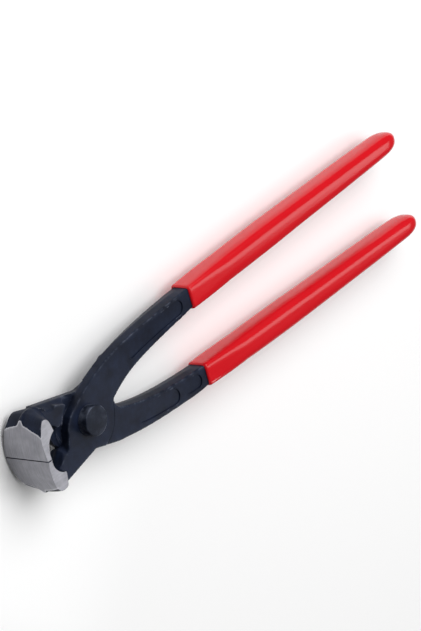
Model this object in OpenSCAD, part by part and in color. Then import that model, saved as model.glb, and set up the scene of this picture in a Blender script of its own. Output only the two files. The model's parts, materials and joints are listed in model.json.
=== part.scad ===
// End-cutting tile nippers: two forged levers that cross at a riveted lap joint,
// each with a dipped plastic grip. The tool lies on its side, jaws towards -X and
// handles towards +X, with the pivot axis along Z and the jaws closed.
// The origin is the middle of the underside of the tool's bounding box.

/* [Overall] */
// Pivot axis to the ends of the handles
handle_reach = 216; // [170:1:270]
// Pivot axis to the cutting edges
jaw_reach = 33; // [30:0.5:40]
// Length of the cutting edges
head_width = 23; // [18:0.5:28]

/* [Arms] */
// Thickness of the forged arms and of the two cheeks together
arm_thickness = 8; // [6.5:0.1:10]
// Width of an arm where its grip starts
arm_width = 7.8; // [6.5:0.1:9.5]
// Width of an arm beside the joint
root_width = 13; // [10.5:0.1:14]
// Length over which the root narrows to the arm
waist_length = 25; // [18:1:40]
// Height of an arm's centre line above the tool's axis, without its bow
arm_spread = 15.9; // [15:0.1:18]
// How far the bow pulls the root in towards the axis
bow_depth = 5.5; // [4.5:0.1:6.5]
// Length over which the bow fades out
bow_length = 20; // [15:1:30]
// Rise of the centre line for each millimetre of arm
arm_flare = 0.018; // [0:0.001:0.04]
// Radius of the arms' four long edges
arm_edge_r = 1.3; // [0.6:0.1:2]
// Radius of the crotch on each side of the tool's axis
crotch_r = 4.3; // [3.5:0.1:5]

/* [Joint] */
// Radius of the round cheek around the rivet
cheek_r = 14.7; // [13.5:0.1:18]
// Radius of the edge that leads from the cheek's outer side into the neck
cheek_side_r = 21; // [20:0.1:23]
// Diameter of the rivet's shank
shank_d = 9; // [7:0.1:11]
// Diameter of the rivet's front head
rivet_head_d = 12.2; // [11.5:0.1:15]
// Height of the rivet's front head
rivet_head_h = 4.2; // [2:0.1:5]
// Diameter of the rivet's peened back head
rivet_tail_d = 12; // [11.5:0.1:15]
// Height of the rivet's peened back head
rivet_tail_h = 2.2; // [1:0.1:3]
// Chamfer around both rivet heads
rivet_chamfer = 0.6; // [0.2:0.1:0.9]

/* [Jaws] */
// How far a jaw reaches to the side of the cutting edge
jaw_depth = 16.8; // [16:0.1:19]
// Depth of the ground face at the front of a jaw
face_depth = 14.6; // [13:0.1:15.5]
// How much each ground side leans in from the cutting edge to the jaw's back
side_lean = 2.6; // [1:0.1:4]
// Radius of the jaw's rounded back, seen from the front
back_r = 15; // [13:0.5:25]
// Length of the head behind the cutting edge, before it narrows to the neck
head_length = 8.5; // [8:0.5:12]
// Radius of the jaw's back, seen from the side
crown_r = 10.8; // [9:0.1:14]
// Width of the flat land behind the cutting edge
edge_land = 0.6; // [0.3:0.1:1]
// Radius of the hollow behind the cutting edges
eye_r = 9.4; // [8.5:0.1:10.5]

/* [Grips] */
// Start of the front lever's grip, from the pivot axis
front_grip_start = 71; // [60:1:90]
// Start of the back lever's grip, from the pivot axis
back_grip_start = 68; // [60:1:90]
// Thickness of the dipped plastic along the arm's sides
coat_side = 0.9; // [0.6:0.1:2]
// Thickness of the dipped plastic over the arm's flats
coat_flat = 1.1; // [0.6:0.1:2]
// Thickness of the dipped plastic over the arm's end
coat_end = 1.8; // [1:0.1:4]
// Rounding of the grip's mouth
lip = 0.5; // [0.2:0.1:0.6]
// Length over which the arm tapers to its end
taper_length = 75; // [40:1:100]
// Share of the arm's size that is left at its end
end_taper = 0.84; // [0.7:0.01:1]
// Length of the rounding at the arm's end
end_round = 14; // [8:0.5:20]

/* [Fits] */
// Gap between the two cheeks
lap_gap = 0.1; // [0.05:0.01:0.3]
// Gap between a cheek and the other lever's shoulder
shoulder_gap = 0.3; // [0.2:0.05:0.6]
// Gap between the closed cutting edges
edge_gap = 0.3; // [0.1:0.05:0.6]
// Radial clearance of the front lever on the rivet
running_gap = 0.04; // [0.02:0.01:0.08]
// Gap between the rivet's front head and the front cheek
head_gap = 0.05; // [0.02:0.01:0.2]
// Gap between an arm and its grip
coat_gap = 0.05; // [0.02:0.01:0.1]

/* [Hidden] */
$fn = 96;

half_thickness = arm_thickness / 2;
half_head = head_width / 2;
pivot = [-(handle_reach - jaw_reach) / 2, 0, half_head];
shoulder_r = cheek_r + shoulder_gap;
arm_end_x = handle_reach - coat_end;

// Places along the lever, from the pivot axis
root_x = cheek_r + 3.3;
root_end = root_x + 2;
brow_x = root_x - 3;
brow_length = 10;
crotch_x = shoulder_r + 0.3;
taper_start = handle_reach - taper_length;
jaw_back_x = -jaw_reach + head_length;
eye_x = jaw_back_x + 3.2;
crown_x = jaw_back_x + 0.7;
neck_x = jaw_back_x + 4.5;

// How the outer edge drops from the arm's line to the cheek, and how far the plate
// beside the joint stays inside the arm's skin
brow_drop = 0.76;
skin_inset = 0.05;
// The arm's long edges start nearly sharp this far before the root, and round off
// over this length
edge_lead = 2;
edge_fade = 8;

// The end rounding's power, and how far along it each loop lies
round_power = 2.2;
round_steps = [0.35, 0.6, 0.78, 0.9, 0.97, 1];
round_limit = 0.99;
corner_steps = 3;
corner_limit = 0.9;

steel = [0.20, 0.22, 0.27];
rivet_steel = [0.24, 0.26, 0.30];
red_plastic = [0.80, 0.08, 0.12];

// ---- The arm's centre line and section, by distance from the pivot axis ----

function arm_y(x) = arm_spread + arm_flare * (x - root_x)
    - bow_depth * exp(-(x - root_x) / bow_length);
function taper(x) = x < taper_start ? 1
    : 1 - (1 - end_taper) * pow((x - taper_start) / (handle_reach - taper_start), 2);
function arm_half_width(x) = (arm_width
    + (root_width - arm_width) * exp(-(x - root_x) / waist_length)) / 2 * taper(x);
function arm_half_thickness(x) = half_thickness * taper(x);
// The edges are nearly sharp beside the joint and round off along the waist
function edge_r(x) = arm_edge_r * (1 - exp(-(x - root_x + edge_lead) / edge_fade));
function inner_y(x) = arm_y(x) - arm_half_width(x);
function outer_y(x) = arm_y(x) + arm_half_width(x);

// Share of the section that is left in the rounding before end_x. It stops short of
// nothing, so that the last loop is still a loop.
function round_off(x, end_x) = let (t = min(round_limit, max(0, 1 - (end_x - x) / end_round)))
    pow(1 - pow(t, round_power), 1 / round_power);

// A closed loop of points around the arm at x: a rectangle with rounded corners,
// grown by side and flat, and drawn in by the rounding that ends at end_x
function section(x, side, flat, end_x) = let (
    k = round_off(x, end_x),
    w = (arm_half_width(x) + side) * k,
    t = (arm_half_thickness(x) + flat) * k,
    r = min(edge_r(x) + side, corner_limit * min(w, t)))
    [for (c = [0:3], s = [0:corner_steps])
        let (a = 90 * c + 90 * s / corner_steps,
             cy = (c == 0 || c == 3 ? 1 : -1) * (w - r),
             cz = (c < 2 ? 1 : -1) * (t - r))
        [x, arm_y(x) + cy + r * cos(a), cz + r * sin(a)]];

// A solid skin over a list of loops that all have the same number of points
module skin(loops) {
    n = len(loops[0]);
    last = len(loops) - 1;
    polyhedron(
        points = [for (l = loops) each l],
        faces = concat(
            [[for (i = [0:n - 1]) i]],
            [for (k = [0:last - 1], i = [0:n - 1]) let (j = (i + 1) % n)
                each [[k * n + i, (k + 1) * n + i, k * n + j],
                      [k * n + j, (k + 1) * n + i, (k + 1) * n + j]]],
            [[for (i = [n - 1:-1:0]) last * n + i]]));
}

// Distances at which loops are placed: even along the arm, closer in the end rounding
function stations(start, end_x, count) = concat(
    [for (i = [0:count]) start + (end_x - end_round - start) * i / count],
    [for (t = round_steps) end_x - end_round * (1 - t)]);

// ---- Levers ----

function arc(c, r, from, to, steps) =
    [for (i = [0:steps]) let (a = from + (to - from) * i / steps) c + r * [cos(a), sin(a)]];

// The cheek's outer side is an arc that leads from the arm's root into the neck. It
// passes over the cheek at side_x.
side_x = 6.2;
side_c = [side_x, 0.75 * cheek_r - sqrt(pow(cheek_side_r, 2) - pow(side_x, 2))];
// Where the neck's back edge meets the cheek, and where it meets the jaw
neck_start = [-0.5, -cheek_r + 2.8];
neck_end = [neck_x + 0.5, -jaw_depth + 0.8];
// Floor of the hollow behind the cutting edges, where jaw and neck overlap
eye_floor = [eye_x, -eye_r];
eye_back = [neck_x + 1.5, -eye_r + 0.1];

// Outline of the lever beside the joint: cheek, crotch, root of the arm, outer side,
// and neck
module joint_outline() {
    brow = [for (i = [0:4]) let (x = brow_x - brow_length * i / 4)
        [x, outer_y(x) - brow_drop * pow(i / 4, 2)]];
    polygon(concat(
        arc([0, 0], cheek_r, -68, 0, 16),
        arc([crotch_x + crotch_r, edge_gap / 2], crotch_r, 180, 115, 8),
        [[root_end, inner_y(root_end) + skin_inset], [root_end, outer_y(root_end) - skin_inset]],
        brow,
        arc(side_c, cheek_side_r, 107, 178, 14),
        [eye_back, eye_floor, [jaw_back_x + 1, -jaw_depth], neck_end, neck_start]));
}

// Side view of the jaw: cutting edge and bevel, hollow of the eye, and rounded back
module jaw_outline() {
    front_x = -jaw_reach - 1;
    polygon(concat(
        [[front_x, -edge_gap / 2], [-jaw_reach + edge_land, -edge_gap / 2]],
        arc([eye_x, 0], eye_r, 195, 270, 8),
        [eye_back, neck_end],
        arc([crown_x, crown_r - jaw_depth], crown_r, 288, 235, 8),
        [[front_x, -face_depth]]));
}

// The wide cutting head, with its front ground round about the pivot axis
module head() {
    slope_x = jaw_back_x + 2.5;
    slope_z = 0.62 * half_head;
    waist_x = neck_x + 1;
    intersection() {
        linear_extrude(head_width, center = true) jaw_outline();
        cylinder(r = jaw_reach, h = 2 * head_width, center = true);
        // Ground sides, which lean in from the cutting edge
        rotate([90, 0, 90]) linear_extrude(4 * jaw_reach, center = true) polygon([
                [-edge_gap / 2, half_head], [-edge_gap / 2, -half_head],
                [-jaw_depth, -half_head + side_lean], [-jaw_depth, half_head - side_lean]]);
        // Rounded back
        translate([0, back_r - jaw_depth, 0]) rotate([0, 90, 0])
            cylinder(r = back_r, h = 4 * jaw_reach, center = true);
        // Shoulders down to the neck
        rotate([90, 0, 0]) linear_extrude(3 * jaw_depth, center = true) polygon([
            [-2 * jaw_reach, half_head], [jaw_back_x, half_head], [slope_x, slope_z],
            [waist_x, half_thickness], [waist_x, -half_thickness],
            [slope_x, -slope_z], [jaw_back_x, -half_head], [-2 * jaw_reach, -half_head]]);
    }
}

// One lever, with its cheek on the +Z side, its arm towards +Y and its jaw towards -Y
module lever(bore_d) {
    difference() {
        union() {
            linear_extrude(arm_thickness, center = true) joint_outline();
            skin([for (x = stations(root_x, arm_end_x, 20)) section(x, 0, 0, arm_end_x)]);
            head();
        }
        // Room for the other lever's cheek
        translate([0, 0, lap_gap / 2 - head_width])
            cylinder(r = shoulder_r, h = head_width);
        cylinder(d = bore_d, h = 2 * arm_thickness, center = true);
    }
}

module front_lever() {
    color(steel) translate(pivot) lever(shank_d + 2 * running_gap);
}

module back_lever() {
    color(steel) translate(pivot) rotate([180, 0, 0]) lever(shank_d);
}

// ---- Rivet: fixed in the back lever, with the front lever turning on it ----

module pivot_rivet() {
    top = half_thickness + head_gap;
    color(rivet_steel) translate(pivot) rotate_extrude() polygon([
        [0, -half_thickness - rivet_tail_h],
        [rivet_tail_d / 2 - rivet_chamfer, -half_thickness - rivet_tail_h],
        [rivet_tail_d / 2, -half_thickness - rivet_tail_h + rivet_chamfer],
        [rivet_tail_d / 2, -half_thickness], [shank_d / 2, -half_thickness],
        [shank_d / 2, top], [rivet_head_d / 2, top],
        [rivet_head_d / 2, top + rivet_head_h - rivet_chamfer],
        [rivet_head_d / 2 - rivet_chamfer, top + rivet_head_h], [0, top + rivet_head_h]]);
}

// ---- Grips: dipped sleeves that follow the arms they cover ----

module grip(start) {
    bore_end = arm_end_x + coat_gap;
    inside = [for (x = stations(start, bore_end, 16)) section(x, coat_gap, coat_gap, bore_end)];
    outside = [for (x = stations(start + lip, handle_reach, 16))
        section(x, coat_side, coat_flat, handle_reach)];
    skin(concat(
        [for (i = [len(inside) - 1:-1:0]) inside[i]],
        [section(start, coat_side - lip, coat_flat - lip, handle_reach)],
        outside));
}

module front_grip() {
    color(red_plastic) translate(pivot) grip(front_grip_start);
}

module back_grip() {
    color(red_plastic) translate(pivot) rotate([180, 0, 0]) grip(back_grip_start);
}

front_lever();
back_lever();
pivot_rivet();
front_grip();
back_grip();
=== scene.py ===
# %% [markdown]
# # Tile nippers
# Two forged levers cross at a riveted lap joint. Each has a wide cutting jaw on one side
# and a long handle dipped in glossy vinyl on the other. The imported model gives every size
# and place; this script gives the surfaces: forged skins, ground faces and vinyl.

# %% Load the frame
import json
import math

import bmesh
import bpy
import numpy as np
from mathutils import Matrix, Vector
from mathutils.kdtree import KDTree


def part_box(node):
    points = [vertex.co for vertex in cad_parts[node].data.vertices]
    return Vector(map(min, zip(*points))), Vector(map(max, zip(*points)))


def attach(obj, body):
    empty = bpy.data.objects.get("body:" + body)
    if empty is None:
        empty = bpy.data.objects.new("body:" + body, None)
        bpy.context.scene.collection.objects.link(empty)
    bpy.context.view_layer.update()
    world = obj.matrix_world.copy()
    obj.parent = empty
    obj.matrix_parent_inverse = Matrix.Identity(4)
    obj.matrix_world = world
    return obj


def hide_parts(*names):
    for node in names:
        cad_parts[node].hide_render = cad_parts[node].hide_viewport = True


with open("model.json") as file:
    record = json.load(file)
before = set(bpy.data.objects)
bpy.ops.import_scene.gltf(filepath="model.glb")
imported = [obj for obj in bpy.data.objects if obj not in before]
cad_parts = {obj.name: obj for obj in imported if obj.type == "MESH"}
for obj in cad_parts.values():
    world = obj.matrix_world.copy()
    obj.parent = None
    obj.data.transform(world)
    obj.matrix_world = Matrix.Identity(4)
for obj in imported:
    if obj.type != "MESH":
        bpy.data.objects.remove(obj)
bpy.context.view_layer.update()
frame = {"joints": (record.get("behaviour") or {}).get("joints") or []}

MM = 0.001

# %% [markdown]
# Everything is worked out around the rivet, because both levers turn about it. The pivot
# comes from the joint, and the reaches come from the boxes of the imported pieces.

# %% Sizes from the frame, in millimetres from the pivot
PIVOT = Vector(frame["joints"][0]["pos_m"])


def box_mm(node):
    low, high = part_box(node)
    return (low - PIVOT) / MM, (high - PIVOT) / MM


lever_low, lever_high = box_mm("front_lever")
grip_low, grip_high = box_mm("front_grip")
back_grip_low, _ = box_mm("back_grip")
rivet_low, rivet_high = box_mm("pivot_rivet")

jaw_reach = -lever_low.x
handle_reach = grip_high.x
arm_end = lever_high.x
front_grip_start, back_grip_start = grip_low.x, back_grip_low.x
rivet_head_r = rivet_high.x
half_thickness = 4.0  # of a forging, from its parting plane to each flat
shank_r = 4.5
edge_gap = 0.44  # between the closed cutting edges
lap_gap = 0.1  # between the two levers' lapped faces
cheek_r = 14.7
shoulder_r = 14.86  # turned to clear the other lever's cheek
print("jaw reach", round(jaw_reach, 2), "handle reach", round(handle_reach, 2), "arm end",
      round(arm_end, 2), "grips from", round(front_grip_start, 1), round(back_grip_start, 1))

# %% [markdown]
# The camera looks at the tool from in front of the jaws and above, rolled so that the
# handles run up to the right. A long lens keeps the handles nearly parallel. It aims at a
# point partway along the handles, moved a little so that the whole tool is in the frame.

# %% Camera
camera_right = Vector((0.6016, -0.2551, 0.7570)).normalized()
camera_back = Vector((-0.6582, 0.3787, 0.6507)).normalized()
camera_up = camera_back.cross(camera_right).normalized()
camera_distance = 1500 * MM
look_at = PIVOT + Vector((80 * MM, -0.6 * MM, 0))
aim = look_at + 1.38 * MM * camera_right + 4.03 * MM * camera_up

camera = bpy.data.objects.new("camera", bpy.data.cameras.new("camera"))
bpy.context.scene.collection.objects.link(camera)
camera.matrix_world = Matrix.Translation(aim + camera_distance * camera_back) @ Matrix((
    (camera_right.x, camera_up.x, camera_back.x, 0),
    (camera_right.y, camera_up.y, camera_back.y, 0),
    (camera_right.z, camera_up.z, camera_back.z, 0),
    (0, 0, 0, 1)))
camera.data.sensor_width = 36
camera.data.lens = 214.97
camera.data.clip_start, camera.data.clip_end = 0.05, 20
bpy.context.scene.camera = camera
print("camera at", [round(c, 3) for c in camera.location])

# %% [markdown]
# A node material is easier to read when each node is one line. One helper adds a node, sets
# its values and links its inputs. Colours are picked on a screen, in sRGB, but shaders add
# up light, so another helper turns them linear.

# %% Helpers for colours and nodes


def linear(hex_colour):
    """An sRGB hex colour as the linear RGBA that shaders use."""
    parts = [int(hex_colour[i:i + 2], 16) / 255 for i in (1, 3, 5)]
    return [c / 12.92 if c <= 0.04045 else ((c + 0.055) / 1.055) ** 2.4 for c in parts] + [1]


def add_node(tree, kind, settings=None, values=None, links=None):
    node = tree.nodes.new(kind)
    for name, value in (settings or {}).items():
        setattr(node, name, value)
    for name, value in (values or {}).items():
        node.inputs[name].default_value = value
    for name, socket in (links or {}).items():
        tree.links.new(socket, node.inputs[name])
    return node


def new_material(name):
    material = bpy.data.materials.new(name)
    material.use_nodes = True
    tree = material.node_tree
    tree.nodes.clear()
    output = tree.nodes.new("ShaderNodeOutputMaterial")
    shader = tree.nodes.new("ShaderNodeBsdfPrincipled")
    tree.links.new(shader.outputs[0], output.inputs[0])
    return material, tree, shader


# %% [markdown]
# The floor is a plain pale sheet under soft light. The standard view transform keeps whites
# white and blacks deep, as on a catalogue table. A big soft box from the upper handle's side
# is the key. A weaker sheet overhead fills the flats, a strip behind the handles draws a
# line on the vinyl, and a small card close to the jaws brings up their ground sides.

# %% Floor
bpy.context.scene.view_settings.view_transform = "Standard"

floor_material, _, floor_shader = new_material("pale_sheet")
floor_shader.inputs["Base Color"].default_value = linear("#fbfbfb")
floor_shader.inputs["Roughness"].default_value = 0.9
floor_mesh = bpy.data.meshes.new("floor")
floor_mesh.from_pydata([(-4, -4, 0), (4, -4, 0), (4, 4, 0), (-4, 4, 0)], [], [(0, 1, 2, 3)])
floor_mesh.materials.append(floor_material)
floor = bpy.data.objects.new("floor", floor_mesh)
bpy.context.scene.collection.objects.link(floor)
print("floor", round(floor.dimensions.x, 1), "m square")

# %% Lights
world = bpy.data.worlds.new("studio")
world.use_nodes = True
world.node_tree.nodes["Background"].inputs[0].default_value = linear("#ffffff")
world.node_tree.nodes["Background"].inputs[1].default_value = 0.14
bpy.context.scene.world = world


def soft_box(name, aim, toward, distance, width, height, watts, spread=180):
    """A rectangular light that faces the point aim (mm from the joint) from toward."""
    light = bpy.data.lights.new(name, "AREA")
    light.shape = "RECTANGLE"
    light.size, light.size_y = width, height
    light.energy = watts
    light.spread = math.radians(spread)
    ob = bpy.data.objects.new(name, light)
    bpy.context.scene.collection.objects.link(ob)
    direction = Vector(toward).normalized()
    ob.location = PIVOT + Vector(aim) * MM + distance * direction
    ob.rotation_mode = "QUATERNION"
    ob.rotation_quaternion = direction.to_track_quat("Z", "Y")
    return ob


soft_box("key", (80, 0, 0), (0.15, 0.6, 0.9), 1.3, 1.2, 1.2, 18)
soft_box("overhead", (60, 0, 0), (0.05, 0.05, 1), 1.5, 1.2, 1.2, 3.5)
soft_box("vinyl_strip", (60, 0, 0), (0.66, -0.17, 0.735), 1.1, 0.3, 0.7, 1.7)
card = soft_box("jaw_card", (-29, -12, 8), (0.658, -0.6, 0.454), 0.15, 0.12, 0.08, 0.0044, 20)
card.visible_camera = False

# %% [markdown]
# ## Finishes
# The levers are drop-forged tool steel with a phosphate finish: a dark blue-black crystal
# skin, matt to satin, that wears to a paler grey on raised edges. That paler edge colour is
# also a painted highlight, standing in for the thin lines of light along the edges. Fine
# grain from the crystals and slow waves left by the die break up its reflections. An image
# could hold all this, but noise on object coordinates needs no unwrapping and keeps its real
# scale.

# %% Blackened forging


def blackened_forging(name, dark, mid, worn_and_highlight):
    material, tree, shader = new_material(name)
    place = add_node(tree, "ShaderNodeTexCoord").outputs["Object"]
    # Die waves every 6 mm or so, and crystals at 0.5 mm, which is as fine as can show
    waves = add_node(tree, "ShaderNodeTexNoise", values={"Scale": 1 / (6 * MM), "Detail": 3.0,
                     "Roughness": 0.55}, links={"Vector": place}).outputs[0]
    crystals = add_node(tree, "ShaderNodeTexNoise", values={"Scale": 1 / (0.5 * MM),
                        "Detail": 2.0, "Roughness": 0.6}, links={"Vector": place}).outputs[0]
    wear_and_highlight = add_node(tree, "ShaderNodeAttribute", settings={"attribute_name": "wear_and_highlight"})
    tone = add_node(tree, "ShaderNodeValToRGB", links={"Fac": waves})
    for stop, at, colour in zip(tone.color_ramp.elements, (0.3, 0.72), (dark, mid)):
        stop.position = at
        stop.color = linear(colour)
    grain = add_node(tree, "ShaderNodeMixRGB", settings={"blend_type": "SOFT_LIGHT"},
                     values={"Fac": 0.35}, links={"Color1": tone.outputs[0], "Color2": crystals})
    # Handling rubs the edges in patches about 3 mm long, never evenly, and the painted
    #     # edge highlight breaks into the same patches
    edge_patches = add_node(tree, "ShaderNodeTexNoise", values={"Scale": 1 / (3 * MM), "Detail": 3.0},
                      links={"Vector": place}).outputs[0]
    patchy = add_node(tree, "ShaderNodeMapRange", values={"From Min": 0.42, "From Max": 0.66},
                      links={"Value": edge_patches}).outputs[0]
    share = add_node(tree, "ShaderNodeMath", settings={"operation": "MULTIPLY"},
                     links={0: wear_and_highlight.outputs["Fac"], 1: patchy}).outputs[0]
    # Paler edges: worn finish, and also a painted highlight along every outward bend
    edge = add_node(tree, "ShaderNodeMixRGB", values={"Color2": linear(worn_and_highlight)},
                    links={"Fac": share, "Color1": grain.outputs[0]})
    tree.links.new(edge.outputs[0], shader.inputs["Base Color"])
    rough = add_node(tree, "ShaderNodeMapRange", values={"To Min": 0.36, "To Max": 0.54},
                     links={"Value": crystals})
    tree.links.new(rough.outputs[0], shader.inputs["Roughness"])
    fine = add_node(tree, "ShaderNodeBump", values={"Strength": 0.25, "Distance": 0.04 * MM},
                    links={"Height": crystals})
    broad = add_node(tree, "ShaderNodeBump", values={"Strength": 0.35, "Distance": 0.25 * MM},
                     links={"Height": waves, "Normal": fine.outputs[0]})
    tree.links.new(broad.outputs[0], shader.inputs["Normal"])
    shader.inputs["IOR"].default_value = 1.5
    shader.inputs["Specular IOR Level"].default_value = 0.11
    return material


# The last colour is the worn edge, made paler still as a painted edge highlight
lever_finish = blackened_forging("phosphated_forging", "#111624", "#1b2336", "#626877")
rivet_finish = blackened_forging("phosphated_rivet", "#121723", "#1c2230", "#5a6070")
print("finishes:", lever_finish.name, rivet_finish.name)

# %% [markdown]
# The jaws are ground after the finish, on a wheel that runs across them from edge to
# back. The scratches run that way, and the bare steel mirrors only a blur. An attribute
# made with the mesh marks the burr along each ground face's border, and a near-white
# colour there paints its highlight. Noise drawn out along the face gives the scratches;
# anisotropy would need tangents to follow.

# %% Ground steel


def ground_steel(name, base, bright):
    material, tree, shader = new_material(name)
    place = add_node(tree, "ShaderNodeTexCoord").outputs["Object"]
    # Grit lines 0.35 mm apart along Z, drawn out 25 times as long down the face
    drawn = add_node(tree, "ShaderNodeMapping", values={
        "Scale": (0.04 / (0.35 * MM), 0.04 / (0.35 * MM), 1 / (0.35 * MM))},
        links={"Vector": place})
    grit = add_node(tree, "ShaderNodeTexNoise", values={"Scale": 1.0, "Detail": 4.0,
                    "Roughness": 0.7}, links={"Vector": drawn.outputs[0]}).outputs[0]
    clouds = add_node(tree, "ShaderNodeTexNoise", values={"Scale": 1 / (5 * MM), "Detail": 2.0},
                      links={"Vector": place}).outputs[0]
    painted_burr_highlight = add_node(tree, "ShaderNodeAttribute", settings={"attribute_name": "painted_burr_highlight"})
    tone = add_node(tree, "ShaderNodeMixRGB", settings={"blend_type": "OVERLAY"},
                    values={"Fac": 0.5, "Color1": linear(base)}, links={"Color2": grit})
    cloudy = add_node(tree, "ShaderNodeMixRGB", settings={"blend_type": "SOFT_LIGHT"},
                      values={"Fac": 0.4}, links={"Color1": tone.outputs[0], "Color2": clouds})
    # Painted highlight: near-white along the ground face's border
    edge = add_node(tree, "ShaderNodeMixRGB", values={"Color2": linear(bright)},
                    links={"Fac": painted_burr_highlight.outputs["Fac"], "Color1": cloudy.outputs[0]})
    tree.links.new(edge.outputs[0], shader.inputs["Base Color"])
    rough = add_node(tree, "ShaderNodeMapRange", values={"To Min": 0.4, "To Max": 0.56},
                     links={"Value": grit})
    tree.links.new(rough.outputs[0], shader.inputs["Roughness"])
    bump = add_node(tree, "ShaderNodeBump", values={"Strength": 0.3, "Distance": 0.03 * MM},
                    links={"Height": grit})
    tree.links.new(bump.outputs[0], shader.inputs["Normal"])
    shader.inputs["Metallic"].default_value = 1.0
    return material


# The last colour is the painted highlight along the ground faces' border
ground_finish = ground_steel("ground_tool_steel", "#8f8f95", "#e2e2e8")
print("finish:", ground_finish.name)

# %% [markdown]
# The handles are dipped in liquid vinyl and oven-cured. The skin is smooth and glossy with
# a faint orange-peel. One even red would look like hard plastic, so the tone and the
# gloss change slightly in long patches, along the way in which the vinyl drained.

# %% Dipped vinyl


def dipped_vinyl(name, deep, bright):
    material, tree, shader = new_material(name)
    place = add_node(tree, "ShaderNodeTexCoord").outputs["Object"]
    # The dip's flow runs along the handle: patches 30 mm long and 6 mm across
    drawn = add_node(tree, "ShaderNodeMapping", values={
        "Scale": (1 / (30 * MM), 1 / (6 * MM), 1 / (6 * MM))}, links={"Vector": place})
    flow = add_node(tree, "ShaderNodeTexNoise", values={"Scale": 1.0, "Detail": 2.0},
                    links={"Vector": drawn.outputs[0]}).outputs[0]
    peel = add_node(tree, "ShaderNodeTexNoise", values={"Scale": 1 / (1.6 * MM), "Detail": 1.0},
                    links={"Vector": place}).outputs[0]
    tone = add_node(tree, "ShaderNodeMixRGB", values={"Color1": linear(deep),
                    "Color2": linear(bright)}, links={"Fac": flow})
    tree.links.new(tone.outputs[0], shader.inputs["Base Color"])
    rough = add_node(tree, "ShaderNodeMapRange", values={"To Min": 0.14, "To Max": 0.2},
                     links={"Value": flow})
    tree.links.new(rough.outputs[0], shader.inputs["Roughness"])
    bump = add_node(tree, "ShaderNodeBump", values={"Strength": 0.12, "Distance": 0.05 * MM},
                    links={"Height": peel})
    tree.links.new(bump.outputs[0], shader.inputs["Normal"])
    shader.inputs["IOR"].default_value = 1.48
    shader.inputs["Specular IOR Level"].default_value = 0.38
    return material


vinyl_finish = dipped_vinyl("dipped_red_vinyl", "#c80c18", "#d2121e")
print("finish:", vinyl_finish.name)

# %% [markdown]
# ## Levers
# A forging is pressed between two dies that meet at a parting plane. Its sides are widest
# there and lean in to both flats. The blank is built from overlapping closed shells: an arm
# swept along its centre line, the plate round the joint, and the jaw. A voxel remesh makes
# them one skin with soft corners. The machined and ground faces are then cut into it, so
# that their edges stay crisp. All of this is in millimetres, with the pivot at zero, the
# arm towards +Y and the jaw towards -Y.
#
# A Boolean needs closed skins, so the first helpers make them from rings of points. Sculpting
# could give the same soft shapes, but rings keep every size in the script.

# %% Closed skins


def shell(rings):
    """Vertices and faces of a closed skin over rings with the same number of points."""
    count = len(rings[0])
    verts = [tuple(p) for ring in rings for p in ring]
    faces = [tuple(range(count)), tuple(range(len(verts) - 1, len(verts) - count - 1, -1))]
    for k in range(len(rings) - 1):
        for i in range(count):
            j = (i + 1) % count
            faces.append((k * count + i, (k + 1) * count + i, (k + 1) * count + j,
                          k * count + j))
    return verts, faces


def solid_object(name, skin):
    """One object from a closed skin, with its faces turned outwards."""
    verts, faces = skin
    mesh = bpy.data.meshes.new(name)
    bm = bmesh.new()
    made = [bm.verts.new(v) for v in verts]
    part = [bm.faces.new([made[i] for i in f]) for f in faces]
    bmesh.ops.recalc_face_normals(bm, faces=part)
    bmesh.ops.triangulate(bm, faces=[f for f in bm.faces if len(f.verts) > 4])
    bm.to_mesh(mesh)
    bm.free()
    ob = bpy.data.objects.new(name, mesh)
    bpy.context.scene.collection.objects.link(ob)
    return ob


def prism(name, outline, low, high):
    return solid_object(name, shell([[(x, y, low) for x, y in outline],
                                     [(x, y, high) for x, y in outline]]))


def arc(centre, radius, start, end, steps):
    turns = [math.radians(start + (end - start) * i / steps) for i in range(steps + 1)]
    return [(centre[0] + radius * math.cos(a), centre[1] + radius * math.sin(a)) for a in turns]


def between(table, at):
    """The value at a place, straight between the rows (place, value) of a table."""
    return float(np.interp(at, [p[0] for p in table], [p[1] for p in table]))


# %% Cutting and joining


def settle(ob):
    """Makes the result of an object's modifiers its own mesh."""
    graph = bpy.context.evaluated_depsgraph_get()
    mesh = bpy.data.meshes.new_from_object(ob.evaluated_get(graph))
    ob.modifiers.clear()
    old, ob.data = ob.data, mesh
    bpy.data.meshes.remove(old)
    return ob


def combine(ob, other, operation="DIFFERENCE"):
    """Cuts other away from ob, or joins it on, and removes other."""
    modifier = ob.modifiers.new("cut", "BOOLEAN")
    modifier.operation, modifier.solver, modifier.object = operation, "MANIFOLD", other
    settle(ob)
    bpy.data.objects.remove(other)
    return ob


# %% [markdown]
# Both levers come from the same dies in principle, but no two forgings are trimmed and ground
# alike. A rule here is a table of (place along the arm, millimetres): relief draws the outer
# side in below the parting plane, brow, outer and inner make a side fuller, and lift is how
# much less was ground off the jaw's nose. heel and rim say where the neck meets the cheek.
# plates are the stretches of the arm that have a long bare recess in one flat.

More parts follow.
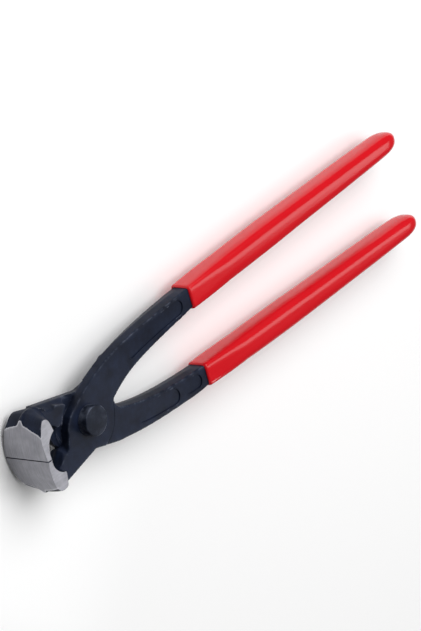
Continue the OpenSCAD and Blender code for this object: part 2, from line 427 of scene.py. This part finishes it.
# %% Each lever's own rules
FRONT_FORGING = {
    "bore_r": shank_r + 0.04, "grip": front_grip_start, "lift": 1.1, "fin": -0.65,
    "relief": [(8, 3.6), (19, 3.4), (26, 2.4), (30, 1.7), (35, 1.35), (40, 1.05), (50, 0.6),
               (60, 0.3), (68, 0.15)],
    "brow": [(5, 0), (9, -0.4), (15, -0.4)], "heel": [(-0.3, -12.4), (2.7, -13.3)], "rim": -69,
    "outer": [(15, -0.4), (24, 0), (70, 0)],
    "inner": [(14, 2.6), (20, 1.95), (26, 1.35), (30, 1.15), (40, 1.05), (50, 0.95),
              (60, 0.65), (70, 0.4)],
    "plates": [(29, 66)], "plate_side": 1, "full_cheek": False}
BACK_FORGING = {
    "bore_r": shank_r, "grip": back_grip_start, "lift": 0.0, "fin": 1.1,
    "relief": [(0, 0), (60, 0)],
    "brow": [(5, 1.2), (6, 1.07), (9.7, 0.55), (15, 0.35)], "rim": -48,
    "heel": [(-0.3, -11.4), (3.6, -10.5), (7.6, -10.9)],
    "outer": [(0, 0.3), (20, 0.1), (30, 0.2), (60, 0.5)],
    "inner": [(0, 0), (70, 0)],
    "plates": [(24, 51), (54, 65)], "plate_side": -1, "full_cheek": True}
print("bores", 2 * FRONT_FORGING["bore_r"], "and", 2 * BACK_FORGING["bore_r"], "mm")

# %% [markdown]
# The arm's centre line starts close to the tool's axis, bows out and then runs nearly
# straight. It is widest at the root, where the hand's force bends it most, and tapers
# towards the end. The grips follow the same rules later, as nodes.

# %% The arm's rules
root_x = cheek_r + 3.3
ARM_ASIDE, ARM_SPREAD = 15.9, 0.018
ARM_BOW, BOW_LENGTH = 5.5, 20
ARM_WIDTH, ROOT_EXTRA, ROOT_LENGTH = 7.8, 5.2, 25
ARM_TAPER, TAPER_LENGTH = 0.16, 75
ARM_ROUNDING = 14


def arm_middle(x):
    return ARM_ASIDE + ARM_SPREAD * (x - root_x) - ARM_BOW * math.exp(-(x - root_x) / BOW_LENGTH)


def arm_taper(x):
    start = handle_reach - TAPER_LENGTH
    return 1 if x < start else 1 - ARM_TAPER * ((x - start) / TAPER_LENGTH) ** 2


def arm_half_width(x):
    return (ARM_WIDTH + ROOT_EXTRA * math.exp(-(x - root_x) / ROOT_LENGTH)) / 2 * arm_taper(x)


print("arm width at the root", round(2 * arm_half_width(root_x), 2), "and under the grip",
      round(2 * arm_half_width(front_grip_start), 2), "mm")

# %% The arm's sections


def end_share(x, end, length):
    """What is left of a section in the rounding before the end."""
    t = min(0.995, max(0.0, 1 - (end - x) / length))
    return (1 - t ** 2.2) ** (1 / 2.2)


def arm_ring(x, forging):
    """The forged arm's section at x. Its sides bulge at the parting plane, and the
    forging's own rules make a side fuller or draw it in below that plane."""
    share = end_share(x, arm_end, ARM_ROUNDING)
    bare = min(1, max(0, (forging["grip"] - 0.6 - x) / 5))
    w = arm_half_width(x) * share
    t = half_thickness * arm_taper(x) * share
    bulge = 0.5 * bare
    r = min(0.5, 0.4 * t)
    half = [(w - r, t), (w - 0.25 * r, t - 0.3 * r), (w, t - r), (w + bulge, 0.15),
            (w + bulge, -0.15)]
    lower = [(w, -t + r), (w - 0.25 * r, -t + 0.3 * r), (w - r, -t)]
    drawn = between(forging["relief"], x)
    out_by, in_by = between(forging["outer"], x) * bare, between(forging["inner"], x) * bare
    outer = [(y + out_by, z) for y, z in half] + [(y + out_by - drawn, z) for y, z in lower]
    inner = [(-y - in_by, z) for y, z in reversed(half + lower)]
    return [(x, arm_middle(x) + y, z) for y, z in outer + inner]


def arm_shell(forging):
    stations = list(np.linspace(14, arm_end - ARM_ROUNDING, 68))
    stations += [arm_end - ARM_ROUNDING * (1 - t) for t in (0.25, 0.45, 0.62, 0.76, 0.87, 0.95, 1.0)]
    return shell([arm_ring(x, forging) for x in stations])


print("arm:", len(arm_shell(FRONT_FORGING)[0]), "points")

# %% [markdown]
# The plate round the joint is one outline at several heights. At each height the outline
# is drawn in along its own normals: a little for the draft and the soft corners, and a lot
# below the parting plane along the neck's back, which is forged as a broad bevel. A Bevel
# modifier would give one width all round, and the real draft changes along the outline.

# %% The plate's outline
neck_end = (-22.0, -16.9)
crotch_aside, crotch_r = (2.3, 0.15), 4.3
# The cheek's free side, from the arm's brow to the web behind the cutting edge
CHEEK_SIDE = [(2.4, 11.6), (0.8, 10.9), (-0.4, 10.3), (-3.6, 8.6), (-6.3, 7.3), (-8.7, 5.7),
              (-10.5, 3.8), (-11.8, 1.2), (-12.9, -1.9), (-14.1, -5.0), (-14.6, -6.1)]


def brow_points(forging):
    """The arm's outer side where it runs over the cheek, drawn in as it gets there."""
    return [(x, arm_middle(x) + arm_half_width(x) + between(forging["brow"], x)
             - 0.76 * max(0, (root_x - 3 - x) / 10) ** 2, between(forging["relief"], x))
            for x in np.linspace(root_x - 3, root_x - 13, 6)]


def neck_points(heel, steps=8):
    """The neck's straight back, from the jaw to the heel, with its bevel's width."""
    points = []
    for i in range(steps + 1):
        x = neck_end[0] + (heel[0] - neck_end[0]) * i / steps
        y = neck_end[1] + (heel[1] - neck_end[1]) * i / steps
        points.append((x - 0.02, y, 3.75 + 0.085 * x))
    return points


def plate_outline(forging):
    """Points (x, y, bevel) round the joint, from the neck's heel round to the neck."""
    end = root_x + 6
    side = arm_half_width(end) - 0.3
    points = [(x, y, 0) for x, y in forging["heel"]]
    points += [(x, y, 0) for x, y in arc((0, 0), cheek_r + 0.5, forging["rim"], -2, 20)]
    crotch = arc((root_x + crotch_aside[0], crotch_aside[1]), crotch_r, 180, 115, 8)
    points += [(x, y, 0) for x, y in crotch]
    points += [(end, arm_middle(end) - side, 0),
               (end, arm_middle(end) + side, between(forging["relief"], end))]
    points += brow_points(forging)
    points += [(x, y, 0) for x, y in CHEEK_SIDE]
    points += [(x, y, 0) for x, y in arc((-18.4, -5.6), 3.7, 0, -80, 6)]
    points += [(-24.5, -10.0, 0)]
    return points + neck_points(forging["heel"][0])


print("plate outline:", len(plate_outline(FRONT_FORGING)), "points")

# %% The plate and the web
PLATE_LEVELS = [(4.0, 0.25, 0), (3.85, 0.08, 0), (3.5, 0.0, 0), (0.3, -0.2, 0), (-0.3, -0.2, 0),
                (-3.4, 0.0, 0.85), (-3.8, 0.15, 0.95), (-4.0, 0.45, 1.0)]
# Where the web's tip is at each height
WEB_TIPS = [(-4, -16.5, -5.4), (-1.6, -16.6, -4.9), (-0.4, -16.7, -4.2), (0.4, -16.7, -4.1),
            (2.2, -16.4, -5.3), (4, -15.8, -6.6)]


def drafted_plate(points, levels):
    """levels: (z, how far the whole outline is drawn in, share of each point's bevel)."""
    flat = np.array([p[:2] for p in points])
    along = np.roll(flat, -1, 0) - np.roll(flat, 1, 0)
    along /= np.linalg.norm(along, axis=1)[:, None]
    inward = np.stack([-along[:, 1], along[:, 0]], 1)
    bevel = np.array([p[2] for p in points])
    rings = []
    for z, drawn, share in levels:
        at = flat + inward * (drawn + share * bevel)[:, None]
        rings.append([(x, y, z) for x, y in at])
    return shell(rings)


def web_shell():
    """The neck's corner behind the cutting edge, which reaches up the turned shoulder."""
    return shell([[(-20.8, -9.3, z), (x, y, z), (-13.0, y - 0.3, z), (-9, -11.5, z),
                   (-14.5, -14, z)] for z, x, y in WEB_TIPS])


print("web reaches", max(y for _, _, y in WEB_TIPS), "mm from the cutting plane")

# %% [markdown]
# The jaw is a broad, crowned block. Its back rises behind the ground front, falls away to
# both sides from the parting line, and narrows quickly to the neck. A small fin of flash
# stands where the dies met at the front. The eye behind the cutting edges is a round
# hollow that opens slightly to both sides.

# %% The jaw's rules
RIDGE = [(-36, 8.4), (-33, 10.7), (-31, 12.5), (-30.3, 13.1), (-29.5, 13.9), (-28.5, 15.0),
         (-27.5, 15.8), (-26.5, 16.4), (-24, 16.85), (-22, 16.8), (-20, 16.2)]
HALF_WIDTH = [(-36, 12.2), (-25.6, 12.2), (-24.8, 11.6), (-24.1, 10.0), (-23.4, 7.6),
              (-22.6, 5.4), (-21.5, 4.1), (-20, 3.6)]
# How far the forged skin lies below the ridge, by its share of the half width: the half
# that was in the lower die is rounder
DROP_UPPER = [(0, 0), (0.25, 0.15), (0.5, 0.5), (0.7, 1.0), (0.85, 1.7), (0.93, 2.7), (0.985, 4.4)]
DROP_LOWER = [(0, 0), (0.2, 0.35), (0.4, 1.0), (0.55, 1.35), (0.7, 1.8), (0.8, 2.5),
              (0.86, 3.4), (0.93, 5.0), (0.985, 7.5)]
LOWER_ROUNDING = [(-31, 1.1), (-29.5, 0.8), (-27.5, 0.8), (-24.3, 1.7)]
JAW_STATIONS = [-36, -34, -33, -32, -31, -30.3, -29.5, -28.5, -27.5, -26.5, -25.6, -24.8, -24.1,
                -23.4, -22.6, -21.5, -20]
# The fin of flash: place, height above the ridge, half width at its foot
FLASH = [(-34, 1.1, 1.9), (-30, 1.0, 1.8), (-28.5, 0.8, 1.5), (-27, 0.5, 1.1), (-25, 0.3, 0.8),
         (-21, 0.2, 0.6)]
eye_centre, eye_r = (-21.8, 0.0), 9.0
EYE_OPENING = [(-14, 0.2), (-10, 0.1), (-4, 0), (0, 0), (4, 0), (10, 0.1), (14, 0.2)]


def ridge(x, lift):
    """The jaw's height. lift is how much less the grinding took off the nose."""
    return between(RIDGE, x) + lift * min(1, max(0, (-x - 25.5) / 3))


print("jaw", max(y for _, y in RIDGE), "mm high, edge", 2 * between(HALF_WIDTH, -30), "mm wide unground")

# %% The jaw, its flash and the eye


def jaw_shell(lift):
    rings = []
    for x in JAW_STATIONS:
        top, half = ridge(x, lift), between(HALF_WIDTH, x)
        soft = min(1, half / 9)
        round_off = soft * between(LOWER_ROUNDING, x)
        upper = [(half * share, top - drop * soft) for share, drop in DROP_UPPER]
        upper += [(half, max(2, top - 9)), (half, -1)]
        lower = [(-half * share, top - drop * round_off) for share, drop in DROP_LOWER[1:]]
        lower += [(-half, max(2, top - 11)), (-half, -1)]
        rings.append([(x, -y, z) for z, y in upper + lower[::-1]])
    return shell(rings)


def flash_shell(middle, lift):
    """A fin with a narrow flat top that follows the parting line over the nose."""
    rings = []
    for x, rise, half in FLASH:
        top = ridge(x, lift)
        side = [(half, -1.5), (half, -0.2), (0.55 * half, 0.35 * rise), (0.36 * half, rise)]
        around = [(z, y) for z, y in side] + [(-z, y) for z, y in reversed(side)]
        rings.append([(x, -(top + y), middle + z) for z, y in around])
    return shell(rings)


def eye_cutter():
    return solid_object("eye", shell([[(x, y, z) for x, y in arc(eye_centre, eye_r + grow, 0, 354, 59)]
                                      for z, grow in EYE_OPENING]))


print("eye", 2 * eye_r, "mm across")

# %% [markdown]
# The dies close on the hot steel, so the blank is one skin. The shells are joined first, and
# the voxel remesh then melts their seams into small fillets, as the steel flows in the die.
# The back lever's cheek is a full disc, which shows behind the front one.

# %% Forge the blank
voxel = 0.42
# The free side of the back lever's cheek, past its round part
DISC_SIDE = [(-12.8, 6.7), (-15.3, 4.1), (-16.9, 2.1), (-17.6, 0), (-17.4, -3), (-16, -6),
             (-11, -8.5), (0, -9)]


def full_cheek(blank):
    outline = arc((0, 0), cheek_r, 0, 148, 40) + DISC_SIDE
    blank = combine(blank, prism("disc", outline, 0.7, half_thickness - 0.3), "UNION")
    seat = arc((0, 0), cheek_r, 0, 200, 50) + [(0, -9)]
    return combine(blank, prism("disc", seat, 0, 1), "UNION")


def forge_blank(forging):
    plate = solid_object("plate", drafted_plate(plate_outline(forging), PLATE_LEVELS))
    plate = combine(plate, eye_cutter())
    jaw = combine(solid_object("jaw", jaw_shell(forging["lift"])), eye_cutter())
    blank = combine(plate, jaw, "UNION")
    fin = flash_shell(forging["fin"], forging["lift"])
    for part in (arm_shell(forging), web_shell(), fin):
        blank = combine(blank, solid_object("part", part), "UNION")
    if forging["full_cheek"]:
        blank = full_cheek(blank)
    skin = blank.modifiers.new("skin", "REMESH")
    skin.mode, skin.voxel_size = "VOXEL", voxel
    soften = blank.modifiers.new("soften", "SMOOTH")
    soften.factor, soften.iterations = 0.5, 2
    return settle(blank)


# %% [markdown]
# The blank gets its faces in the order of the workshop: turn the shoulder that clears the
# other lever, drill, dress the cutting edge, grind the front round about the pivot, and
# grind the sides, which lean by a fifth. The recesses are pressed in last.

# %% Machine and grind
lean = 0.2
flank_z = 11.4
ground_from = -19.0
recess_share, recess_depth = 0.66, 0.45
# Cutters start or end this far out, well past the tool, in millimetres
PAST = 20
FAR = 60


def plate_recess(start, end):
    """A round-ended pocket along the arm's middle, just into its flat."""
    h = recess_share * arm_half_width((start + end) / 2)
    rim = [0, 0.06, 0.2, 0.45, 0.75, 1]
    xs = [start + h * t for t in rim] + list(np.linspace(start + h, end - h, 9))[1:-1]
    xs += [end - h * t for t in reversed(rim)]
    low, high = [], []
    for x in xs:
        near = max(0, 1 - min(x - start, end - x) / h)
        half = max(0.05, h * math.sqrt(max(0, 1 - near ** 2)))
        low.append((x, arm_middle(x) - half))
        high.append((x, arm_middle(x) + half))
    return prism("recess", low + high[::-1], half_thickness - recess_depth, half_thickness + 2)


def turn_and_drill(blank, forging):
    shoulder = arc((0, 0), shoulder_r, 0, 357, 119)
    combine(blank, prism("turned", shoulder, -PAST, lap_gap / 2))
    rim = arc((0, 0), cheek_r, forging["rim"] - 4, -0.5, 60)
    around = arc((0, 0), cheek_r + 6, forging["rim"] - 4, -0.5, 60)
    combine(blank, prism("rim", rim + around[::-1], -PAST, PAST))
    combine(blank, prism("drill", arc((0, 0), forging["bore_r"], 0, 354, 59), -PAST, PAST))


def grind(blank):
    edge = -edge_gap / 2
    combine(blank, prism("dress", [(-FAR, edge), (ground_from, edge), (ground_from, 30),
                                   (-FAR, 30)], -PAST, PAST))
    front = arc((0, 0), jaw_reach, 130, 230, 100)
    front += [(-FAR, front[-1][1]), (-FAR, front[0][1])]
    combine(blank, prism("front", front, -PAST, PAST))
    for side in (-1, 1):
        foot = side * (flank_z - 30 * lean)
        wedge = [(-FAR, 0, side * flank_z), (ground_from, 0, side * flank_z),
                 (ground_from, -30, foot), (-FAR, -30, foot)]
        outer = [(x, y, side * 30) for x, y, _ in wedge]
        combine(blank, solid_object("side", shell([wedge, outer])))


def press_recesses(blank, forging):
    for start, end in forging["plates"]:
        pocket = plate_recess(start, end)
        if forging["plate_side"] < 0:
            pocket.data.transform(Matrix.Scale(-1, 4, (0, 0, 1)))
            pocket.data.flip_normals()
        combine(blank, pocket)


# %% [markdown]
# Handling rubs the finish off where the skin bends outwards, so the wear of each vertex comes
# from how its normal turns along its edges; the same value also paints a highlight along
# those edges. A painted highlight lies along the border between a ground face and the forged
# skin, where the burr is. Both are stored as attributes for the materials.

# %% Where the skin bends


def share_of(value, low, high):
    """0 up to low, 1 from high, and smooth between."""
    t = np.clip((value - low) / (high - low), 0, 1)
    return t * t * (3 - 2 * t)


def convexity(bm):
    """How sharply the skin bends outwards at each vertex, per millimetre."""
    bend = np.zeros(len(bm.verts))
    for v in bm.verts:
        sums = []
        for e in v.link_edges:
            o = e.other_vert(v)
            step = v.co - o.co
            sums.append((v.normal - o.normal).dot(step) / max(1e-6, step.length_squared))
        bend[v.index] = sum(sums) / max(1, len(sums))
    return bend


# %% The ground faces


def is_ground(face):
    c = face.calc_center_median()
    on_front = abs(math.hypot(c.x, c.y) - jaw_reach) < 0.03
    on_side = abs(abs(c.z) - (flank_z + lean * c.y)) / math.sqrt(1 + lean ** 2) < 0.02
    return c.x < ground_from and (on_front or on_side)


def divide_ground(bm, spacing=0.6):
    """A fine grid over the ground faces, so that the painted highlight along their borders is narrow."""
    for axis, start, stop in ((2, -12, 12), (0, -33, -20), (1, -17, 0)):
        for at in np.arange(start, stop, spacing):
            ground = [f for f in bm.faces if is_ground(f)]
            if axis < 2:
                ground = [f for f in ground if abs(f.normal.z) > 0.9]
            parts = set(ground)
            for f in ground:
                parts.update(f.verts)
                parts.update(f.edges)
            normal, point = [0, 0, 0], [0, 0, 0]
            normal[axis], point[axis] = 1, at
            bmesh.ops.bisect_plane(bm, geom=list(parts), dist=0.001, plane_co=point,
                                   plane_no=normal)
    bmesh.ops.triangulate(bm, faces=[f for f in bm.faces if len(f.verts) > 4])
    bm.verts.index_update()
    bm.normal_update()
    return {f: is_ground(f) for f in bm.faces}


# %% Wear, painted edge highlight and painted burr highlight by place


def wear_and_highlight_of(bm, forging):
    """Worn and highlight-painted edges, except beside the turned shoulder and in the recesses."""
    # One value for both the wear and the painted highlight along the edges
    wear_and_highlight = 0.7 * share_of(convexity(bm), 0.3, 1.1)
    for v in bm.verts:
        x, y, z = v.co
        by_shoulder = x > 6 and abs(math.hypot(x, y) - shoulder_r) < 1.5
        along = any(start - 0.6 < x < end + 0.6 for start, end in forging["plates"])
        on_flat = z * forging["plate_side"] > half_thickness - 0.5
        across = abs(y - arm_middle(x)) < recess_share * arm_half_width(x) + 0.3
        if by_shoulder or (along and on_flat and across):
            wear_and_highlight[v.index] = 0
    return wear_and_highlight


def painted_burr_highlight_of(bm, ground, width=0.5):
    """Painted highlight within this width of the front face's border, where the burr is."""
    border = [v for v in bm.verts if len({ground[f] for f in v.link_faces}) == 2
              and abs(math.hypot(v.co.x, v.co.y) - jaw_reach) < 0.05 and v.co.y < -2]
    tree = KDTree(len(border))
    for i, v in enumerate(border):
        tree.insert(v.co, i)
    tree.balance()
    painted_burr_highlight = np.zeros(len(bm.verts))
    for v in bm.verts:
        if any(ground[f] for f in v.link_faces):
            painted_burr_highlight[v.index] = 0.7 * max(0.0, 1 - tree.find(v.co)[2] / width)
    return painted_burr_highlight


# %% [markdown]
# The last step gives the mesh its two finishes, keeps the ground faces' borders crisp in the
# shading, and moves the mesh from the pivot to its place in the frame. The back lever is the
# front one's shape turned over about the tool's long axis.

# %% Finish a lever
CRISP = math.radians(32)


def finish_lever(ob, turn, forging):
    mesh = ob.data
    mesh.materials.clear()
    mesh.materials.append(lever_finish)
    mesh.materials.append(ground_finish)
    bm = bmesh.new()
    bm.from_mesh(mesh)
    bmesh.ops.remove_doubles(bm, verts=bm.verts, dist=0.002)
    bmesh.ops.dissolve_degenerate(bm, edges=bm.edges, dist=0.002)
    ground = divide_ground(bm)
    values = {"wear_and_highlight": wear_and_highlight_of(bm, forging), "painted_burr_highlight": painted_burr_highlight_of(bm, ground)}
    for face in bm.faces:
        face.smooth = True
        face.material_index = 1 if ground[face] else 0
    for edge in bm.edges:
        if len(edge.link_faces) == 2:
            one, other = edge.link_faces
            edge.smooth = ground[one] == ground[other] and edge.calc_face_angle(0) < CRISP
    bm.to_mesh(mesh)
    bm.free()
    for name, value in values.items():
        layer = mesh.attributes.new(name, "FLOAT", "POINT")
        layer.data.foreach_set("value", value.astype(np.float32))
    mesh.transform(Matrix.Translation(PIVOT) @ Matrix.Scale(MM, 4)
                   @ Matrix.Rotation(math.radians(turn), 4, "X"))
    mesh.update()
    print(ob.name, len(mesh.polygons), "faces, worn share", round(float(values["wear_and_highlight"].mean()), 3))


# %% Make both levers
for name, node, body, turn, forging in (
        ("front_lever_forging", "front_lever", "front_half", 0, FRONT_FORGING),
        ("back_lever_forging", "back_lever", "back_half", 180, BACK_FORGING)):
    lever = forge_blank(forging)
    turn_and_drill(lever, forging)
    grind(lever)
    press_recesses(lever, forging)
    lever.name = lever.data.name = name
    finish_lever(lever, turn, forging)
    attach(lever, body)
    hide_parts(node)

# %% [markdown]
# ## Rivet
# The rivet is turned from bar and headed cold. Its tall front head has a broken edge and a
# nearly flat top, and the back is peened over by hand into a low button. Two cylinders with
# bevels could stand in for it, but one profile turned about its axis gives the heads, the
# shank and their edges in one closed skin. A few points round each edge catch the light.

# %% The rivet's profile


def rounded(corners, steps=4):
    """A profile of (radius, z) corners, where the third number rounds the corner off."""
    out = []
    for i, corner in enumerate(corners):
        if len(corner) == 2:
            out.append(corner)
            continue
        here = Vector(corner[:2])
        before = (Vector(corners[i - 1][:2]) - here).normalized() * corner[2]
        after = (Vector(corners[i + 1][:2]) - here).normalized() * corner[2]
        for k in range(steps + 1):
            t = k / steps
            out.append(tuple(here + before * (1 - t) ** 2 + after * t ** 2))
    return out


rivet_top, rivet_bottom = rivet_high.z, rivet_low.z
tail_r = 6.0
seat = half_thickness + 0.05
profile = rounded([(0, rivet_bottom), (tail_r - 1.6, rivet_bottom + 0.1, 0.6),
                   (tail_r - 0.3, rivet_bottom + 1.1, 0.5), (tail_r, -half_thickness, 0.05),
                   (shank_r, -half_thickness, 0.05), (shank_r, seat, 0.05),
                   (rivet_head_r, seat, 0.1), (rivet_head_r, rivet_top - 0.32, 0.12),
                   (rivet_head_r - 0.28, rivet_top - 0.06, 0.12), (0, rivet_top)])
print("rivet", round(rivet_top - rivet_bottom, 2), "mm long, head", round(2 * rivet_head_r, 2), "mm")

# %% Turn the rivet
TURNS = 128
turned = []
for i in range(TURNS):
    a = 2 * math.pi * i / TURNS
    turned.append([(r * math.cos(a), r * math.sin(a), z) for r, z in profile])
mesh = bpy.data.meshes.new("pivot_rivet_turned")
bm = bmesh.new()
rows = [[bm.verts.new(p) for p in row] for row in turned]
for i, row in enumerate(rows):
    following = rows[(i + 1) % len(rows)]
    for k in range(len(row) - 1):
        bm.faces.new((row[k], following[k], following[k + 1], row[k + 1]))
bmesh.ops.remove_doubles(bm, verts=bm.verts, dist=0.0005)
bmesh.ops.recalc_face_normals(bm, faces=bm.faces)
bm.verts.index_update()
bm.normal_update()
# Worn rims of the rivet, which also paint a highlight round its edges
wear_and_highlight = share_of(convexity(bm), 0.35, 1.4)
for face in bm.faces:
    face.smooth = True
bm.to_mesh(mesh)
bm.free()
mesh.attributes.new("wear_and_highlight", "FLOAT", "POINT").data.foreach_set("value", wear_and_highlight.astype(np.float32))
mesh.transform(Matrix.Translation(PIVOT) @ Matrix.Scale(MM, 4))
rivet = bpy.data.objects.new("pivot_rivet_turned", mesh)
bpy.context.scene.collection.objects.link(rivet)
rivet.data.materials.append(rivet_finish)
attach(rivet, "back_half")
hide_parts("pivot_rivet")
print("rivet", len(mesh.polygons), "faces")

# %% [markdown]
# ## Grips
# A dipped grip follows the arm and its section follows a rule, so Geometry Nodes make it: a
# straight tube, with every point then moved by formulas of its place along the handle. The
# section goes from nearly square at the mouth to round at the tip, and the vinyl is thickest
# about halfway, where it drained last. A second, thinner tube is the space inside, and
# taking it away leaves a sleeve with an open mouth. The main sizes are named inputs.

# %% Numbers that become nodes


class Formula:
    """A number in a node tree. Arithmetic with it adds the Math nodes for it."""

    def __init__(self, tree, socket):
        self.tree, self.socket = tree, socket

    def step(self, operation, *values):
        node = self.tree.nodes.new("ShaderNodeMath")
        node.operation = operation
        for socket, value in zip(node.inputs, values):
            if isinstance(value, Formula):
                self.tree.links.new(value.socket, socket)
            else:
                socket.default_value = value
        return Formula(self.tree, node.outputs[0])

    def __add__(self, other):
        return self.step("ADD", self, other)

    def __sub__(self, other):
        return self.step("SUBTRACT", self, other)

    def __rsub__(self, other):
        return self.step("SUBTRACT", other, self)

    def __mul__(self, other):
        return self.step("MULTIPLY", self, other)

    def __truediv__(self, other):
        return self.step("DIVIDE", self, other)

    def __rtruediv__(self, other):
        return self.step("DIVIDE", other, self)

    def __pow__(self, other):
        return self.step("POWER", self, other)

    __radd__, __rmul__ = __add__, __mul__

    def exponential(self):
        return self.step("EXPONENT", self)

    def absolute(self):
        return self.step("ABSOLUTE", self)

    def within(self, low, high):
        return self.step("MINIMUM", self.step("MAXIMUM", self, low), high)


# %% The grip's inputs and rules
GRIP_INPUTS = [("Start", front_grip_start), ("End", handle_reach - 0.01), ("Fullest Half", 5.75),
               ("Fullest At", 110.0), ("Squareness", 3.3), ("Lip", 0.9), ("End Round", 11.0),
               ("Arm End", arm_end), ("Root", root_x), ("Clearance", 0.06),
               ("Reach Aside", 23.55), ("Thins Before", 0.00042), ("Thins After", 0.00012),
               ("Flattens After", 0.00003)]


def arm_middle_nodes(run):
    return ARM_ASIDE + ARM_SPREAD * run - ARM_BOW * (run / -BOW_LENGTH).exponential()


def arm_width_nodes(run, x, given):
    past = ((x - (given["End"] - TAPER_LENGTH)) / TAPER_LENGTH).within(0, 1)
    taper = 1 - ARM_TAPER * past * past
    half_width = ARM_WIDTH / 2 + ROOT_EXTRA / 2 * (run / -ROOT_LENGTH).exponential()
    return half_width * taper, half_thickness * taper


def rounded_end(x, end, length, power):
    """1 along the tube, falling to 0 in a rounding of this length before its end."""
    t = (1 - (end - x) / length).within(0, 0.9999)
    return (1 - t ** power) ** (1 / power)


print("named sizes:", len(GRIP_INPUTS))

# %% A tube of any section


def tube(tree, start, end, rings, section):
    """A closed tube from start to end. section(x) gives its middle, half width, half height
    and squareness; the rings are closest together at both ends."""
    line = add_node(tree, "GeometryNodeCurvePrimitiveLine",
                    values={"Start": (0, 0, 0), "End": (1, 0, 0)}).outputs[0]
    fine = add_node(tree, "GeometryNodeResampleCurve", values={"Count": rings},
                    links={"Curve": line}).outputs[0]
    ring = add_node(tree, "GeometryNodeCurvePrimitiveCircle",
                    values={"Resolution": 96, "Radius": 1.0}).outputs[0]
    plain = add_node(tree, "GeometryNodeCurveToMesh", values={"Fill Caps": True},
                     links={"Curve": fine, "Profile Curve": ring}).outputs[0]
    place = tree.nodes.new("GeometryNodeInputPosition").outputs[0]
    split = add_node(tree, "ShaderNodeSeparateXYZ", links={0: place}).outputs
    along, across, up = (Formula(tree, socket) for socket in split)
    x = start + (end - start) * along * along * (3 - 2 * along)
    middle, half_width, half_height, power = section(x)
    circle = (across.absolute() ** power + up.absolute() ** power) ** (1 / power)
    moved = add_node(tree, "ShaderNodeCombineXYZ", links={
        0: x.socket, 1: (middle + half_width * across / circle).socket,
        2: (half_height * up / circle).socket}).outputs[0]
    return add_node(tree, "GeometryNodeSetPosition",
                    links={"Geometry": plain, "Position": moved}).outputs[0]


# %% The grip's node tree


def grip_tree():
    tree = bpy.data.node_groups.new("dipped_grip", "GeometryNodeTree")
    for name, value in GRIP_INPUTS:
        socket = tree.interface.new_socket(name, in_out="INPUT", socket_type="NodeSocketFloat")
        socket.default_value = value
    finish = tree.interface.new_socket("Finish", in_out="INPUT",
                                       socket_type="NodeSocketMaterial")
    finish.default_value = vinyl_finish
    tree.interface.new_socket("Grip", in_out="OUTPUT", socket_type="NodeSocketGeometry")
    sockets = tree.nodes.new("NodeGroupInput").outputs
    given = {name: Formula(tree, sockets[name]) for name, _ in GRIP_INPUTS}

    def skin(x):
        middle = arm_middle_nodes(x - given["Root"]) - 0.25 * ((x - 140) / 60).within(0, 1)
        away = x - given["Fullest At"]
        lip = 1 - 0.1 * (1 - ((x - given["Start"]) / given["Lip"]).within(0, 1)) ** 2.0
        scale = lip * rounded_end(x, given["End"], given["End Round"], 2.5)
        before, after = (0 - away).within(0, 200), away.within(0, 200)
        near = given["Fullest Half"] - given["Thins Before"] * before * before
        half_width = (near - given["Thins After"] * after * after).within(
            0, given["Reach Aside"] - middle)
        half_height = near - given["Flattens After"] * after * after
        mouth = (1 - (x - given["Start"]) / 25).within(0, 1)
        tip = (1 - (given["End"] - x) / 36).within(0, 1)
        power = given["Squareness"] + 3.0 * mouth - 0.8 * tip * tip
        return middle, half_width * scale, half_height * scale, power

    arm_stop = given["Arm End"] + given["Clearance"]

    def space(x):
        run = x - given["Root"]
        half_width, half_height = arm_width_nodes(run, x, given)
        scale = rounded_end(x, arm_stop, ARM_ROUNDING, 2.2)
        return (arm_middle_nodes(run), half_width * scale + given["Clearance"],
                half_height * scale + given["Clearance"], 16.0)

    outside = tube(tree, given["Start"], given["End"], 300, skin)
    inside = tube(tree, given["Start"] - 1, arm_stop, 160, space)
    hollow = add_node(tree, "GeometryNodeMeshBoolean",
                      settings={"operation": "DIFFERENCE", "solver": "MANIFOLD"},
                      links={"Mesh 1": outside, "Mesh 2": inside}).outputs[0]
    real = add_node(tree, "GeometryNodeRealizeInstances", links={0: hollow}).outputs[0]
    done = add_node(tree, "GeometryNodeSetMaterial",
                    links={"Geometry": real, "Material": sockets["Finish"]}).outputs[0]
    tree.links.new(done, tree.nodes.new("NodeGroupOutput").inputs[0])
    return tree


# %% Make both grips
dipped_grip = grip_tree()
sockets = {item.name: item.identifier for item in dipped_grip.interface.items_tree
           if item.in_out == "INPUT"}

for name, node, body, turn, start in (
        ("front_grip_dipped", "front_grip", "front_half", 0, front_grip_start),
        ("back_grip_dipped", "back_grip", "back_half", 180, back_grip_start)):
    grip = bpy.data.objects.new(name, bpy.data.meshes.new(name))
    bpy.context.scene.collection.objects.link(grip)
    modifier = grip.modifiers.new("grip", "NODES")
    modifier.node_group = dipped_grip
    for label, value in GRIP_INPUTS:
        modifier[sockets[label]] = float(start if label == "Start" else value)
    modifier[sockets["Finish"]] = vinyl_finish
    settle(grip)
    mesh = grip.data
    bm = bmesh.new()
    bm.from_mesh(mesh)
    bmesh.ops.remove_doubles(bm, verts=bm.verts, dist=0.001)
    bmesh.ops.recalc_face_normals(bm, faces=bm.faces)
    for face in bm.faces:
        face.smooth = True
    for edge in bm.edges:
        if len(edge.link_faces) == 2:
            edge.smooth = edge.calc_face_angle(0) < math.radians(50)
    bm.to_mesh(mesh)
    bm.free()
    mesh.transform(Matrix.Translation(PIVOT) @ Matrix.Scale(MM, 4)
                   @ Matrix.Rotation(math.radians(turn), 4, "X"))
    mesh.name = name
    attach(grip, body)
    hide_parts(node)
    print(name, len(mesh.polygons), "faces")
